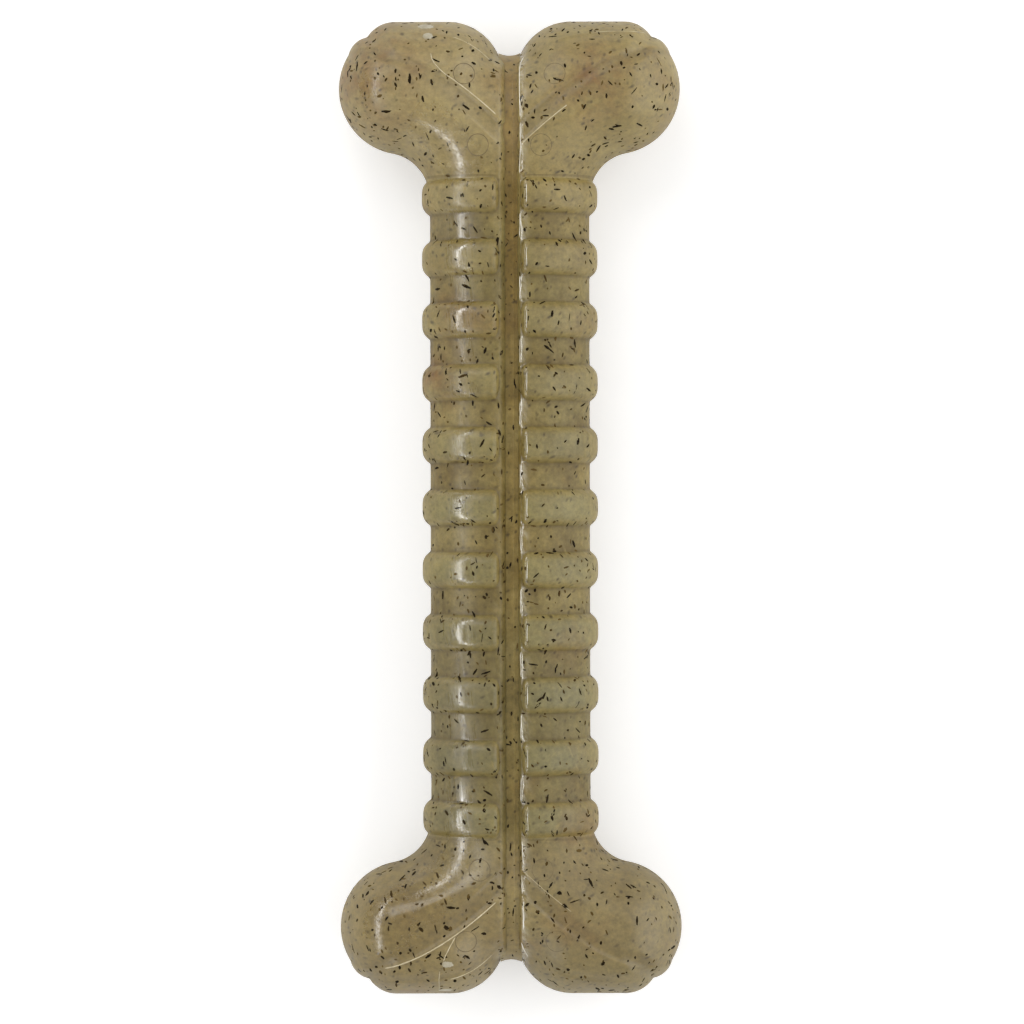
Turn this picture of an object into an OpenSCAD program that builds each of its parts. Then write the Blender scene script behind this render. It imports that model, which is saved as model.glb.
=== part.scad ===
/* [Shaft] */
// Distance between neighbouring ribs
rib_pitch = 11.35; // [8:0.05:15]
// Number of ribs along the shaft, an odd number
rib_count = 11; // [5:2:15]
// Width of the shaft between the ribs
shaft_w = 29.15; // [22:0.05:36]
// Thickness of the shaft between the ribs
shaft_t = 19; // [16:0.1:22]
// Height of a rib above the shaft
rib_h = 1.47; // [0.6:0.01:2]
// Width of a rib at its foot
rib_w = 6.6; // [5:0.1:7.6]
// Width of the flat crest of a rib
rib_crest_w = 1.85; // [1:0.05:3]
// Length over which a rib slopes down towards the groove
rib_end_l = 1.2; // [0.5:0.1:2]

/* [Knuckles] */
// Overall width across the knuckles
bone_w = 62.5; // [58:0.1:68]
// Thickness over the knuckles
knuckle_t = 25; // [23:0.1:29]
// Length of a knuckle, from the last rib to the end of the bone
knuckle_l = 32.25; // [30:0.05:36]
// Radius of the ball of a knuckle
ball_r = 12; // [11.5:0.05:13]
// Distance of the ball's centre from the end of the bone
ball_drop = 12.3; // [11.5:0.05:13]
// Radius of the hollow where a knuckle leaves the shaft
elbow_r = 8.2; // [7:0.1:9]
// Amount by which the root of a knuckle is wider than the shaft, on each side
root_step = 0.15; // [0.05:0.05:0.5]
// Length over which the shaft's thickness grows to the knuckle's
swell_l = 15; // [10:0.5:18]
// Radius of the middle toe
toe_r = 4.25; // [4:0.05:4.8]
// Distance of the middle toe's centre from the end of the bone
toe_drop = 7; // [6.6:0.05:7.4]
// Distance of the middle toe's tip in from the ball's side
toe_inset = 1.65; // [1.4:0.05:1.9]
// Radius of the outer toe's corner
cap_r = 6; // [5.5:0.05:6.4]
// Distance of the outer toe's tip in from the ball's side
cap_inset = 4.25; // [4:0.05:4.6]
// Radius of the shoulder beside the end notch
shoulder_r = 10; // [9:0.1:11]
// Depth of the notch in the end of the bone
notch_depth = 6.15; // [5:0.05:8]
// Depth of the diagonal valley across a knuckle
valley_depth = 0.9; // [0.4:0.05:1.6]
// Width of the valley at the groove
valley_w = 5; // [4:0.1:7]
// Width of the valley at the ball's side
valley_tip_w = 1.6; // [1:0.1:2.5]
// Distance that the valley falls on its way from the ball's side to the groove
valley_fall = 14.3; // [12:0.1:15.5]
// Depth of the flat that a knuckle rests on, below its crown
land_cut = 0.3; // [0.1:0.02:0.5]
// Height of the flat rim left by the mould's parting line
parting_h = 0.24; // [0.1:0.02:0.6]

/* [Centre web] */
// Width of the groove, filled at its floor by the web
groove_w = 3.94; // [3:0.02:5]
// Depth of the groove below the crown of the shaft
groove_depth = 2; // [1.5:0.1:4]
// Length over which the groove runs out at each end of the web
web_fade = 3; // [1.5:0.1:5]
// Reach of the web's tongue into each lobe
tongue_d = 2.5; // [1.5:0.1:4]
// Height of the web's tongue
tongue_h = 4; // [2:0.1:5]
// Clearance around the tongue in its slot
tongue_gap = 0.1; // [0.05:0.01:0.3]

/* [Flecks] */
// Length of a coarse fleck
fleck_l = 2.2; // [1:0.1:2.6]
// Width of a coarse fleck
fleck_w = 0.6; // [0.3:0.05:1]
// Depth of a coarse fleck in the nylon
fleck_t = 0.5; // [0.3:0.05:1]
// Height of a fleck above the nylon
fleck_proud = 0.04; // [0.02:0.01:0.1]
// Pattern of the flecks
fleck_seed = 7; // [1:1:99]

/* [Hidden] */

// Steps of the surface: across a lobe, and round each arc of the outline
cross_steps = 12;
elbow_steps = 9;
ball_steps = 13;
toe_steps = 5;
shoulder_steps = 8;
web_steps = 18;

// Half sizes
shaft_hw = shaft_w / 2;
shaft_ht = shaft_t / 2;
knuckle_ht = knuckle_t / 2;
crown_ht = knuckle_ht + land_cut;
root_hw = shaft_hw + root_step;
groove_hw = groove_w / 2;
web_ht = shaft_ht - groove_depth;
rim = parting_h / 2;

// Places along the bone, from its middle
last_rib = (rib_count - 1) / 2;
root_y = last_rib * rib_pitch;
end_y = root_y + knuckle_l;
notch_y = knuckle_l - notch_depth;

// Centres of a knuckle's circles: x from the middle of the bone, y from the last rib
ball_c = [bone_w / 2 - ball_r, knuckle_l - ball_drop];
elbow_x = root_hw + elbow_r;
elbow_c = [elbow_x, ball_c.y - leg(elbow_r + ball_r, elbow_x - ball_c.x)];
toe_c = [bone_w / 2 - toe_inset - toe_r, knuckle_l - toe_drop];
cap_c = [bone_w / 2 - cap_inset - cap_r, knuckle_l - cap_r];
shoulder_c = [groove_hw + leg(shoulder_r, shoulder_r - notch_depth), knuckle_l - shoulder_r];

// Nicks in the outline, where neighbouring circles cross
ball_nick = crossing(ball_c, ball_r, toe_c, toe_r);
toe_nick = crossing(toe_c, toe_r, cap_c, cap_r);
elbow_turn = bearing(elbow_c, ball_c);

// Outline of a knuckle, from the shaft round the ball and the toes to the end of the bone
outer_edge = concat(
    [[root_hw, -swell_l], [root_hw, elbow_c.y]],
    arc(elbow_c, elbow_r, 180, elbow_turn, elbow_steps),
    arc(ball_c, ball_r, elbow_turn - 180, bearing(ball_c, ball_nick), ball_steps),
    arc(toe_c, toe_r, bearing(toe_c, ball_nick), bearing(toe_c, toe_nick), toe_steps),
    arc(cap_c, cap_r, bearing(cap_c, toe_nick), 90, toe_steps)
);
whole_edge = concat(
    outer_edge,
    [[shoulder_c.x, knuckle_l]],
    arc(shoulder_c, shoulder_r, 90, bearing(shoulder_c, [groove_hw, notch_y]), shoulder_steps)
);
half_width_table = [for (p = outer_edge) [p.y, p.x]];

// Rows of the surface along the bone
rib_rows = [rib_crest_w / 2, (rib_crest_w + 2 * rib_w) / 6, rib_w / 2];
rib_offsets = concat(-reverse(rib_rows), rib_rows);
half_rows = concat(
    [for (i = [0:last_rib], o = rib_offsets) if (i * rib_pitch + o > 0) i * rib_pitch + o],
    [for (p = outer_edge) if (p.y > rib_w / 2) root_y + p.y]
);
rows = concat(-reverse(half_rows), half_rows);

// Places of the flecks: two rows of them in each bay between two ribs, front and back
bays = [for (i = [-last_rib:last_rib - 1]) (i + 0.5) * rib_pitch];
fleck_lanes = [0.33, 0.68];
slope_step = 0.1;

// Side of a right triangle
function leg(slant, side) = sqrt(pow(slant, 2) - pow(side, 2));

function bearing(from, to) = atan2(to.y - from.y, to.x - from.x);

function reverse(list) = [for (i = [len(list) - 1:-1:0]) list[i]];

// Points along an arc, after its start
function arc(centre, r, from, to, steps) =
    [for (i = [1:steps]) let (a = from + (to - from) * i / steps) centre + r * [cos(a), sin(a)]];

// Outer crossing of two circles
function crossing(c1, r1, c2, r2) =
    let (gap = norm(c2 - c1))
    let (along = (pow(r1, 2) - pow(r2, 2) + pow(gap, 2)) / (2 * gap))
    let (u = (c2 - c1) / gap)
    c1 + along * u + leg(r1, along) * [u.y, -u.x];

function clamp(t) = min(1, max(0, t));

function to_segment(p, a, b) = norm(p - a - clamp((p - a) * (b - a) / ((b - a) * (b - a))) * (b - a));

function to_edge(p) = min([for (i = [1:len(whole_edge) - 1]) to_segment(p, whole_edge[i - 1], whole_edge[i])]);

// Share of a rib's height at a place along the bone
function rib_share(y) =
    let (i = min(last_rib, round(abs(y) / rib_pitch)))
    let (off_crest = abs(abs(y) - i * rib_pitch) - rib_crest_w / 2)
    off_crest <= 0 ? 1 : max(0, 1 - pow(off_crest / (rib_w - rib_crest_w) * 2, 2));

// Oval of the shaft and its ribs
function shaft_height(x, y) =
    let (rise = rib_h * rib_share(y))
    let (hw = shaft_hw + rise)
    x >= hw ? 0 : (shaft_ht + rise * clamp((x - groove_hw) / rib_end_l)) * sqrt(1 - pow(x / hw, 2));

// Swelling of a knuckle, rolled over towards its outline
function swell(v) = let (t = clamp(v / swell_l)) t * t * (3 - 2 * t);

function rolled(d, r) = d >= r ? 1 : sqrt(1 - pow(1 - d / r, 2));

// Share of the valley's depth, on its curve from the nick in the outline down to the groove
function valley_share(x, v) =
    let (fall = pow((ball_nick.x - x) / (ball_nick.x - groove_hw), 2))
    let (w = valley_tip_w + (valley_w - valley_tip_w) * fall)
    max(0, 1 - pow((v - ball_nick.y + valley_fall * fall) / w * 2, 2));

function knuckle_height(x, v) =
    (shaft_ht + (crown_ht - shaft_ht) * swell(v))
    * rolled(to_edge([x, v]), root_hw + (ball_r - root_hw) * swell(v))
    * (1 - valley_depth / crown_ht * valley_share(x, v));

// Height of a lobe's surface above the middle plane
function height(x, y) =
    let (v = abs(y) - root_y)
    let (shaft_z = v > rib_w / 2 ? 0 : shaft_height(x, y))
    let (knuckle_z = v < 0 || x > lookup(v, half_width_table) ? 0 : knuckle_height(x, v))
    min(knuckle_ht, max(rim, shaft_z, knuckle_z));

// Half height of the web: a groove's depth below the lobes, rounded down to nothing at the notch
function web_height(v) =
    (shaft_ht + (crown_ht - shaft_ht) * swell(v)) * rolled(notch_y - v, ball_r)
    - groove_depth * clamp((notch_y - v) / web_fade);

function outer_x(y) =
    let (v = abs(y) - root_y)
    max(shaft_hw + rib_h * rib_share(y), v < 0 ? 0 : lookup(v, half_width_table));

function inner_x(y) =
    let (v = abs(y) - root_y)
    v <= notch_y ? groove_hw : shoulder_c.x - leg(shoulder_r, v - shoulder_c.y);

// One closed section of a lobe, from its outer edge over the front to the groove and back
function section(y) =
    let (a = outer_x(y), b = inner_x(y))
    let (front = [for (k = [0:cross_steps])
        let (x = a + (b - a) * (1 - cos(180 * k / cross_steps)) / 2)
        [x, y, height(x, y)]])
    concat(front, [for (p = reverse(front)) [p.x, p.y, -p.z]]);

// Closed skin over a row of sections, its triangles mirrored from front to back and from end to end
module skin(sections) {
    n = len(sections[0]);
    last = len(sections) - 1;
    sides = [for (j = [0:last - 1], i = [0:n - 1])
        let (a = j * n + i, b = j * n + (i + 1) % n)
        each (i < n / 2) == (j >= last / 2)
            ? [[a, b, a + n], [b, b + n, a + n]]
            : [[a, b, b + n], [a, b + n, a + n]]];
    near_end = [for (i = [0:n / 2 - 2]) each [[i, n - 1 - i, i + 1], [i + 1, n - 1 - i, n - 2 - i]]];
    far_end = [for (f = near_end) last * n * [1, 1, 1] + reverse(f)];
    polyhedron(points = [for (s = sections) each s], faces = concat(near_end, sides, far_end));
}

// Stands the bone on the flats of its knuckles
module lifted() {
    translate([0, 0, knuckle_ht]) children();
}

// The web's tongue, or its slot when a clearance is given
module tongue(gap) {
    reach = 2 * (groove_hw + tongue_d + gap);
    cube([reach, 2 * (root_y + gap), tongue_h + 2 * gap], center = true);
}

// One fleck lying flush in a surface of the given slope, on the front (1) or the back (-1)
module fleck(place, side, slope, turn) {
    translate([place.x, place.y, side * place.z])
        rotate([0, -side * atan(slope), turn])
            translate([0, 0, side * (fleck_proud - fleck_t) / 2])
                cube([fleck_w, fleck_l, fleck_t + fleck_proud], center = true);
}

module lobe_flecks(seed) {
    turns = rands(0, 180, 4 * len(bays), seed);
    for (i = [0:len(bays) - 1], lane = [0, 1], side = [-1, 1]) {
        x = groove_hw + fleck_lanes[lane] * (shaft_hw - groove_hw);
        slope = (height(x + slope_step, bays[i]) - height(x - slope_step, bays[i])) / (2 * slope_step);
        fleck([x, bays[i], height(x, bays[i])], side, slope, turns[4 * i + 2 * lane + (side + 1) / 2]);
    }
}

module lobe(seed) {
    difference() {
        skin([for (y = rows) section(y)]);
        tongue(tongue_gap);
        lobe_flecks(seed);
    }
}

module web_fleck_row() {
    turns = rands(-30, 30, 2 * len(bays), fleck_seed);
    for (i = [0:len(bays) - 1], side = [-1, 1]) {
        fleck([0, bays[i], web_ht], side, 0, turns[2 * i + (side + 1) / 2]);
    }
}

// The web in side view
module web_outline() {
    top = [for (i = [0:web_steps]) let (v = notch_y * sin(90 * i / web_steps)) [root_y + v, web_height(v)]];
    bottom = [for (i = [web_steps - 1:-1:0]) [top[i].x, -top[i].y]];
    half = concat(top, bottom);
    polygon(concat(half, -half));
}

module left_lobe() {
    color("tan") lifted() mirror([1, 0, 0]) lobe(fleck_seed + 1);
}

module right_lobe() {
    color("tan") lifted() lobe(fleck_seed + 2);
}

module centre_web() {
    color("darkkhaki") lifted() difference() {
        union() {
            rotate([90, 0, 90]) linear_extrude(groove_w, center = true) web_outline();
            tongue(0);
        }
        web_fleck_row();
    }
}

module left_flecks() {
    color("saddlebrown") lifted() mirror([1, 0, 0]) lobe_flecks(fleck_seed + 1);
}

module right_flecks() {
    color("saddlebrown") lifted() lobe_flecks(fleck_seed + 2);
}

module web_flecks() {
    color("saddlebrown") lifted() web_fleck_row();
}

left_lobe();
right_lobe();
centre_web();
left_flecks();
right_flecks();
web_flecks();
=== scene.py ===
import math
import bpy
import numpy as np
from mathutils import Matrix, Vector
from mathutils.bvhtree import BVHTree


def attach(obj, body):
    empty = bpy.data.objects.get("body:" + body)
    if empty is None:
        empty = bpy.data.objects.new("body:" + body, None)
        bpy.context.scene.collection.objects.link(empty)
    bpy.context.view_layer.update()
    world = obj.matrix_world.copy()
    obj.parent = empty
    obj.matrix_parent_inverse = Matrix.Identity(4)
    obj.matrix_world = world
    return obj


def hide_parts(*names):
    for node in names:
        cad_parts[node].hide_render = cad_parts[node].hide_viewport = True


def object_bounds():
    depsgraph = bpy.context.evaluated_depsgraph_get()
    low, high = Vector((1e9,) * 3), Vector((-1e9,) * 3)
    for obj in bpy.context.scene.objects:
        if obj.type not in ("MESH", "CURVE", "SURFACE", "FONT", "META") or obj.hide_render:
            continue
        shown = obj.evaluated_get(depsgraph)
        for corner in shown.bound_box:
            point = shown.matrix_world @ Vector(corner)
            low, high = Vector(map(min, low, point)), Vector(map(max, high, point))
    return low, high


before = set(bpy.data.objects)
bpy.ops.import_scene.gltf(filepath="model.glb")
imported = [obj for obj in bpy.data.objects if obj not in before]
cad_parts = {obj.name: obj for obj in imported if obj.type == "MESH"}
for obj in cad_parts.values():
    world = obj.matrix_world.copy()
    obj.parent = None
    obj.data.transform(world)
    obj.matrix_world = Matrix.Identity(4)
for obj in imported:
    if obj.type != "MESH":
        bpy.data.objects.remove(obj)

cadLow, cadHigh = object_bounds()
mm = 0.001
print("frame loaded,", len(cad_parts), "nodes")

# Sizes of the bone in millimetres: x across, y along it, z from its middle plane
shaft = dict(pitch=11.35, ribs=11, width=29.15, thick=19.0, ribHeight=1.5, ribFoot=6.6, ribPower=3.6,
             ribEnd=1.25, facetShare=0.15, facetPart=0.36, endPower=1.6, footFillet=0.16)
knuckle = dict(boneWidth=62.46, thick=25.0, length=32.25, ballR=12.0, ballDrop=12.3, elbowR=8.2,
               rootStep=0.15, swell=15.0, toeR=4.25, toeDrop=7.0, toeInset=1.65, capR=6.0, capInset=4.25,
               shoulderR=10.0, notch=6.15, crown=12.8, crownSoft=0.3, rim=0.12, flash=0.06)
# Edges of the valley between the ball's arm and the middle toe, and of the outer toe: level at the top,
# fall to the groove, where the fall begins and how sharply it bends
armEdge = dict(top=25.3, fall=16.7, x=29.9, power=1.55)
toeEdge = dict(top=26.9, fall=13.3, x=26.0, power=1.7)
capEdge = dict(top=29.5, fall=6.8, x=25.0, power=4.0)
valley = dict(depth=0.8, tipDepth=0.22, bottom=0.6, step=0.27, narrowest=0.4, shadeEdge=0.3,
              armStep=0.5, armStepWidth=0.16, armStepEnd=(7.0, 12.0))
toeValley = dict(depth=0.24, tipDepth=0.1, width=2.0, step=0.35)
groove = dict(halfWidth=1.97, depth=1.6, fade=3.0, leftDraft=1.15, rightDraft=0.55, wallRoll=0.2,
              footReach=1.4, leftLip=0.15, rightLip=0.55, lipWidth=0.55, lipSoft=0.15, lipFade=4.0,
              lipLowest=4.0, lipWander=0.3, wander=0.03, wanderReach=0.6, wanderStep=0.9, wanderSpan=100,
              wanderLimit=1.5)
# lip, facets and rib tips: worn smooth, and painted paler as scuffs, as highlight and as light through thin
# nylon
wornAndLit = dict(lipWidth=1.1, leftLip=0.15, facetAt=0.82, facetWidth=0.35, facetRib=0.5, tipGlowReach=3.0)
mesh = dict(columns=68, wallSteps=8, armStep=0.55, valleyRows=20, toeRows=20, capRows=16, smoothAngle=60)

shaftHw, shaftHt = shaft["width"] / 2, shaft["thick"] / 2
halfThick = knuckle["thick"] / 2
rootHw = shaftHw + knuckle["rootStep"]
lastRib = (shaft["ribs"] - 1) // 2
rootY = lastRib * shaft["pitch"]
endV = knuckle["length"]
sideX = knuckle["boneWidth"] / 2
grooveX = groove["halfWidth"]
notchV = endV - knuckle["notch"]
far = 99.0                         # out beyond the bone


def leg(slant, side):
    return math.sqrt(slant * slant - side * side)


def bearing(a, b):
    return math.atan2(b[1] - a[1], b[0] - a[0])


def crossing(c1, r1, c2, r2):      # outer crossing of two circles
    gap = math.dist(c1, c2)
    along = (r1 * r1 - r2 * r2 + gap * gap) / (2 * gap)
    ux, uy = (c2[0] - c1[0]) / gap, (c2[1] - c1[1]) / gap
    return c1[0] + along * ux + leg(r1, along) * uy, c1[1] + along * uy - leg(r1, along) * ux


def arc(centre, r, a0, a1, spacing=0.03):
    a = np.linspace(a0, a1, max(3, int(abs(a1 - a0) * r / spacing)))
    return np.stack([centre[0] + r * np.cos(a), centre[1] + r * np.sin(a)], axis=1)


# Circles of a knuckle's outline, v counted from the last rib
ballC = (sideX - knuckle["ballR"], endV - knuckle["ballDrop"])
elbowX = rootHw + knuckle["elbowR"]
elbowC = (elbowX, ballC[1] - leg(knuckle["elbowR"] + knuckle["ballR"], elbowX - ballC[0]))
toeC = (sideX - knuckle["toeInset"] - knuckle["toeR"], endV - knuckle["toeDrop"])
capC = (sideX - knuckle["capInset"] - knuckle["capR"], endV - knuckle["capR"])
shoulderC = (grooveX + leg(knuckle["shoulderR"], knuckle["shoulderR"] - knuckle["notch"]),
             endV - knuckle["shoulderR"])
ballNick = crossing(ballC, knuckle["ballR"], toeC, knuckle["toeR"])
toeNick = crossing(toeC, knuckle["toeR"], capC, knuckle["capR"])
elbowTurn = bearing(elbowC, ballC)
footV = shaft["ribFoot"] / 2
footTurn = math.pi - math.asin((footV - elbowC[1]) / knuckle["elbowR"])

sideEdge = np.concatenate([
    arc(elbowC, knuckle["elbowR"], footTurn, elbowTurn),
    arc(ballC, knuckle["ballR"], elbowTurn - math.pi, bearing(ballC, ballNick))[1:],
    arc(toeC, knuckle["toeR"], bearing(toeC, ballNick), bearing(toeC, toeNick))[1:],
    arc(capC, knuckle["capR"], bearing(capC, toeNick), math.pi / 2)[1:],
])
wholeEdge = np.concatenate([
    [[rootHw, -knuckle["swell"]]],
    arc(elbowC, knuckle["elbowR"], math.pi, footTurn),
    sideEdge,
    arc(shoulderC, knuckle["shoulderR"], math.pi / 2, bearing(shoulderC, (grooveX, notchV))),
])


def toEdge(x, v):                  # distance to the outline
    flat = np.stack([x.ravel(), v.ravel()], axis=1)
    a, b = wholeEdge[:-1], wholeEdge[1:]
    ab = b - a
    size = np.maximum((ab * ab).sum(axis=1), 1e-12)
    out = np.empty(len(flat))
    for i in range(0, len(flat), 2000):
        p = flat[i:i + 2000, None, :] - a[None]
        t = np.clip((p * ab).sum(axis=2) / size, 0, 1)
        out[i:i + 2000] = np.linalg.norm(p - t[..., None] * ab, axis=2).min(axis=1)
    return out.reshape(x.shape)


def smooth(t):
    t = np.clip(t, 0, 1)
    return t * t * (3 - 2 * t)


def webTop(v):                     # floor of the groove, which ends at the notch
    room = np.clip(notchV - v, 0, None)
    high = shaftHt + (knuckle["crown"] - shaftHt) * smooth(v / knuckle["swell"])
    rolled = np.sqrt(1 - np.clip(1 - room / knuckle["ballR"], 0, 1) ** 2)
    return high * rolled - groove["depth"] * np.clip(room / groove["fade"], 0, 1)


# Curves that the rows of a knuckle follow, from the last rib to the end of the bone
def fallingEdge(edge, x):
    share = np.clip(edge["x"] - x, 0, None) / (edge["x"] - grooveX)
    return edge["top"] - edge["fall"] * share ** edge["power"]


def endCurve(x):
    inside = np.clip(shoulderC[0] - x, 0, None)
    return shoulderC[1] + np.sqrt(knuckle["shoulderR"] ** 2 - inside ** 2)


def curves(x):
    edges = [fallingEdge(edge, x) for edge in (armEdge, toeEdge, capEdge)]
    return [np.full_like(x, footV), *edges, endCurve(x)]


def station(x, v):                 # 0 at the last rib, whole numbers on the curves, 4 at the end
    lines = curves(x)
    out = np.zeros_like(x)
    for i in range(4):
        part = (v - lines[i]) / np.maximum(lines[i + 1] - lines[i], 1e-9)
        out = np.where(v >= lines[i], i + np.clip(part, 0, 1), out)
    return out


def atStation(s, x):
    lines = curves(x)
    i = min(3, int(s))
    return lines[i] + (s - i) * (lines[i + 1] - lines[i])


# Rows of a knuckle, each from a point of the outline to the groove
edgeStation = np.maximum.accumulate(station(sideEdge[:, 0], sideEdge[:, 1]))
edgeLength = np.concatenate([[0], np.cumsum(np.linalg.norm(np.diff(sideEdge, axis=0), axis=1))])


def evenStations(s0, s1, spacing):
    l0, l1 = np.interp([s0, s1], edgeStation, edgeLength)
    return np.interp(np.linspace(l0, l1, int((l1 - l0) / spacing) + 1), edgeLength, edgeStation)


def eased(s0, s1, rows):           # denser at both ends
    return s0 + (s1 - s0) * (1 - np.cos(np.linspace(0, math.pi, rows + 1))) / 2


knuckleStations = np.concatenate([
    evenStations(0, 1, mesh["armStep"])[1:-1],
    eased(1, 2, mesh["valleyRows"]),
    eased(2, 3, mesh["toeRows"])[1:],
    3 + (1 - (1 - np.linspace(0, 1, mesh["capRows"] + 1)) ** 2)[1:],
])

# Rows of the shaft: closer together on the flanks of the ribs
flankRows = footV * np.array([0.3, 0.45, 0.55, 0.64, 0.72, 0.79, 0.85, 0.9, 0.94, 0.98, 1.02, 1.07, 1.14])
bayRows = np.linspace(footV, shaft["pitch"] - footV, 11)[2:-2]
offsets = np.concatenate([[0, 0.15 * footV], flankRows])
shaftRows = []
for i in range(lastRib + 1):
    y0 = i * shaft["pitch"]
    shaftRows += [y0 + o for o in offsets] + [y0 - o for o in offsets[1:]]
    shaftRows += [y0 + o for o in bayRows]
shaftRows = np.array(sorted(y for y in shaftRows if 0 <= y <= rootY + footV))
columnEase = (1 - np.cos(np.linspace(0, math.pi, mesh["columns"] + 1))) / 2


def ribShare(x, y, ends=True):     # a pad with a crown, a facet at its inner end and a fillet at its foot
    near = np.minimum(lastRib, np.round(y / shaft["pitch"])) * shaft["pitch"]
    u = np.abs(y - near) / footV
    t = np.clip(grooveX + shaft["ribEnd"] - x, 0, None) / shaft["ribEnd"] if ends else np.zeros_like(y)
    fall = shaft["facetShare"] * np.clip(t / shaft["facetPart"], 0, 1)
    past = np.clip((t - shaft["facetPart"]) / (1 - shaft["facetPart"]), 0, 1)
    fall = fall + (1 - shaft["facetShare"]) * past ** shaft["endPower"]
    g = 1 - u ** shaft["ribPower"] - fall
    soft = shaft["footFillet"]
    return (g + np.sqrt(g * g + soft * soft)) / (1 + math.sqrt(1 + soft * soft))


def shaftHeight(x, y):
    hw = shaftHw + shaft["ribHeight"] * ribShare(x, y, ends=False)
    out = np.clip((x + knuckle["flash"] * x / hw) / hw, 0, 1)
    return (shaftHt + shaft["ribHeight"] * ribShare(x, y)) * np.sqrt(1 - out * out)


def valleyPart(x, v):              # 0 at the arm's edge, 1 at the toe's
    low, high = fallingEdge(armEdge, x), fallingEdge(toeEdge, x)
    return (v - low) / np.maximum(high - low, valley["narrowest"])


def carved(z, shape, reach, dip):  # deeper toward the groove
    depth = shape["tipDepth"] + (shape["depth"] - shape["tipDepth"]) * reach
    return z * (1 - depth / knuckle["crown"] * dip)


def knuckleHeight(x, v):
    grow = smooth(v / knuckle["swell"])
    r = rootHw + (knuckle["ballR"] - rootHw) * grow
    d = np.clip(toEdge(x, v) - knuckle["flash"], 0, r)
    z = (shaftHt + (knuckle["crown"] - shaftHt) * grow) * np.sqrt(1 - (1 - d / r) ** 2)
    reach = np.clip((ballNick[0] - x) / (ballNick[0] - grooveX), 0, 1)
    # main valley: a slope from the arm, a steep step at the toe, and a second step on the arm by the groove
    q = valleyPart(x, v)
    start, stop = valley["armStepEnd"]
    sharp = valley["armStep"] * (1 - smooth((x - start) / (stop - start)))
    dip = sharp * smooth(q / valley["armStepWidth"]) + (1 - sharp) * smooth(q / valley["bottom"])
    dip = dip * smooth((1 - q) / valley["step"])
    z = carved(z, valley, reach, dip)
    # shallow valley between the middle toe and the outer one
    q = 1 + (v - fallingEdge(capEdge, x)) / toeValley["width"]
    dip = smooth(q / (1 - toeValley["step"])) * smooth((1 - q) / toeValley["step"])
    z = carved(z, toeValley, reach, dip)
    soft = knuckle["crownSoft"]    # the crowns flatten softly at the thickness of the bone
    low = halfThick - soft
    return np.where(z > low, low + soft * np.tanh((z - halfThick + soft) / soft), z)


def lobeSurface():
    xs, ys = [], []
    for y in shaftRows:
        v = y - rootY
        side = shaftHw + shaft["ribHeight"] * float(ribShare(np.array(far), np.array(y), ends=False))
        if v >= 0:
            side = max(side, elbowX - leg(knuckle["elbowR"], max(0, v - elbowC[1])))
        xs.append(side + (grooveX - side) * columnEase)
        ys.append(np.full(len(columnEase), y))
    for s in knuckleStations:
        length = np.interp(s, edgeStation, edgeLength)
        side = np.interp(length, edgeLength, sideEdge[:, 0])
        x = side + (grooveX - side) * columnEase
        xs.append(x)
        ys.append(rootY + atStation(s, x))
    x, y = np.array(xs), np.array(ys)
    v = y - rootY
    z = np.where(v <= footV, shaftHeight(x, y), 0)
    past = np.clip(v - elbowC[1], 0, knuckle["elbowR"])
    root = np.where(v <= footV, elbowX - np.sqrt(knuckle["elbowR"] ** 2 - past ** 2), far)
    z = np.maximum(z, np.where((v >= 0) & (x <= root), knuckleHeight(x, np.clip(v, 0, None)), 0))
    z = np.maximum(z, knuckle["rim"])
    z[:, 0] = knuckle["rim"]
    rib = np.where(v <= footV, ribShare(x, y), 0)
    # edges that are worn smooth, and painted paler there as scuffs and as painted highlight: the lip of the
    # groove and the facets at the inner ends of the ribs
    facetX = grooveX + wornAndLit["facetAt"] * shaft["ribEnd"]
    lipShine = np.exp(-((x - grooveX) / wornAndLit["lipWidth"]) ** 2)
    facetShine = np.exp(-((x - facetX) / wornAndLit["facetWidth"]) ** 2) * smooth(rib / wornAndLit["facetRib"])
    shine = np.maximum(lipShine, facetShine)
    # hollow: the middle of the main valley, where the material paints shade
    q = np.where(v > footV, valleyPart(x, v), far)
    hollow = np.where(v > footV, smooth(q / valley["shadeEdge"]) * smooth((1 - q) / valley["shadeEdge"]), 0)
    # tip: the outer ends of the ribs, which the material paints paler as light showing through the thin nylon
    tip = ribShare(x, y, ends=False) * np.clip(1 - (x[:, :1] - x) / wornAndLit["tipGlowReach"], 0, 1) * (v <= footV)
    return x, y, z, dict(rib=rib, shine=shine, hollow=hollow, tip=tip)


surface = lobeSurface()


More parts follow.
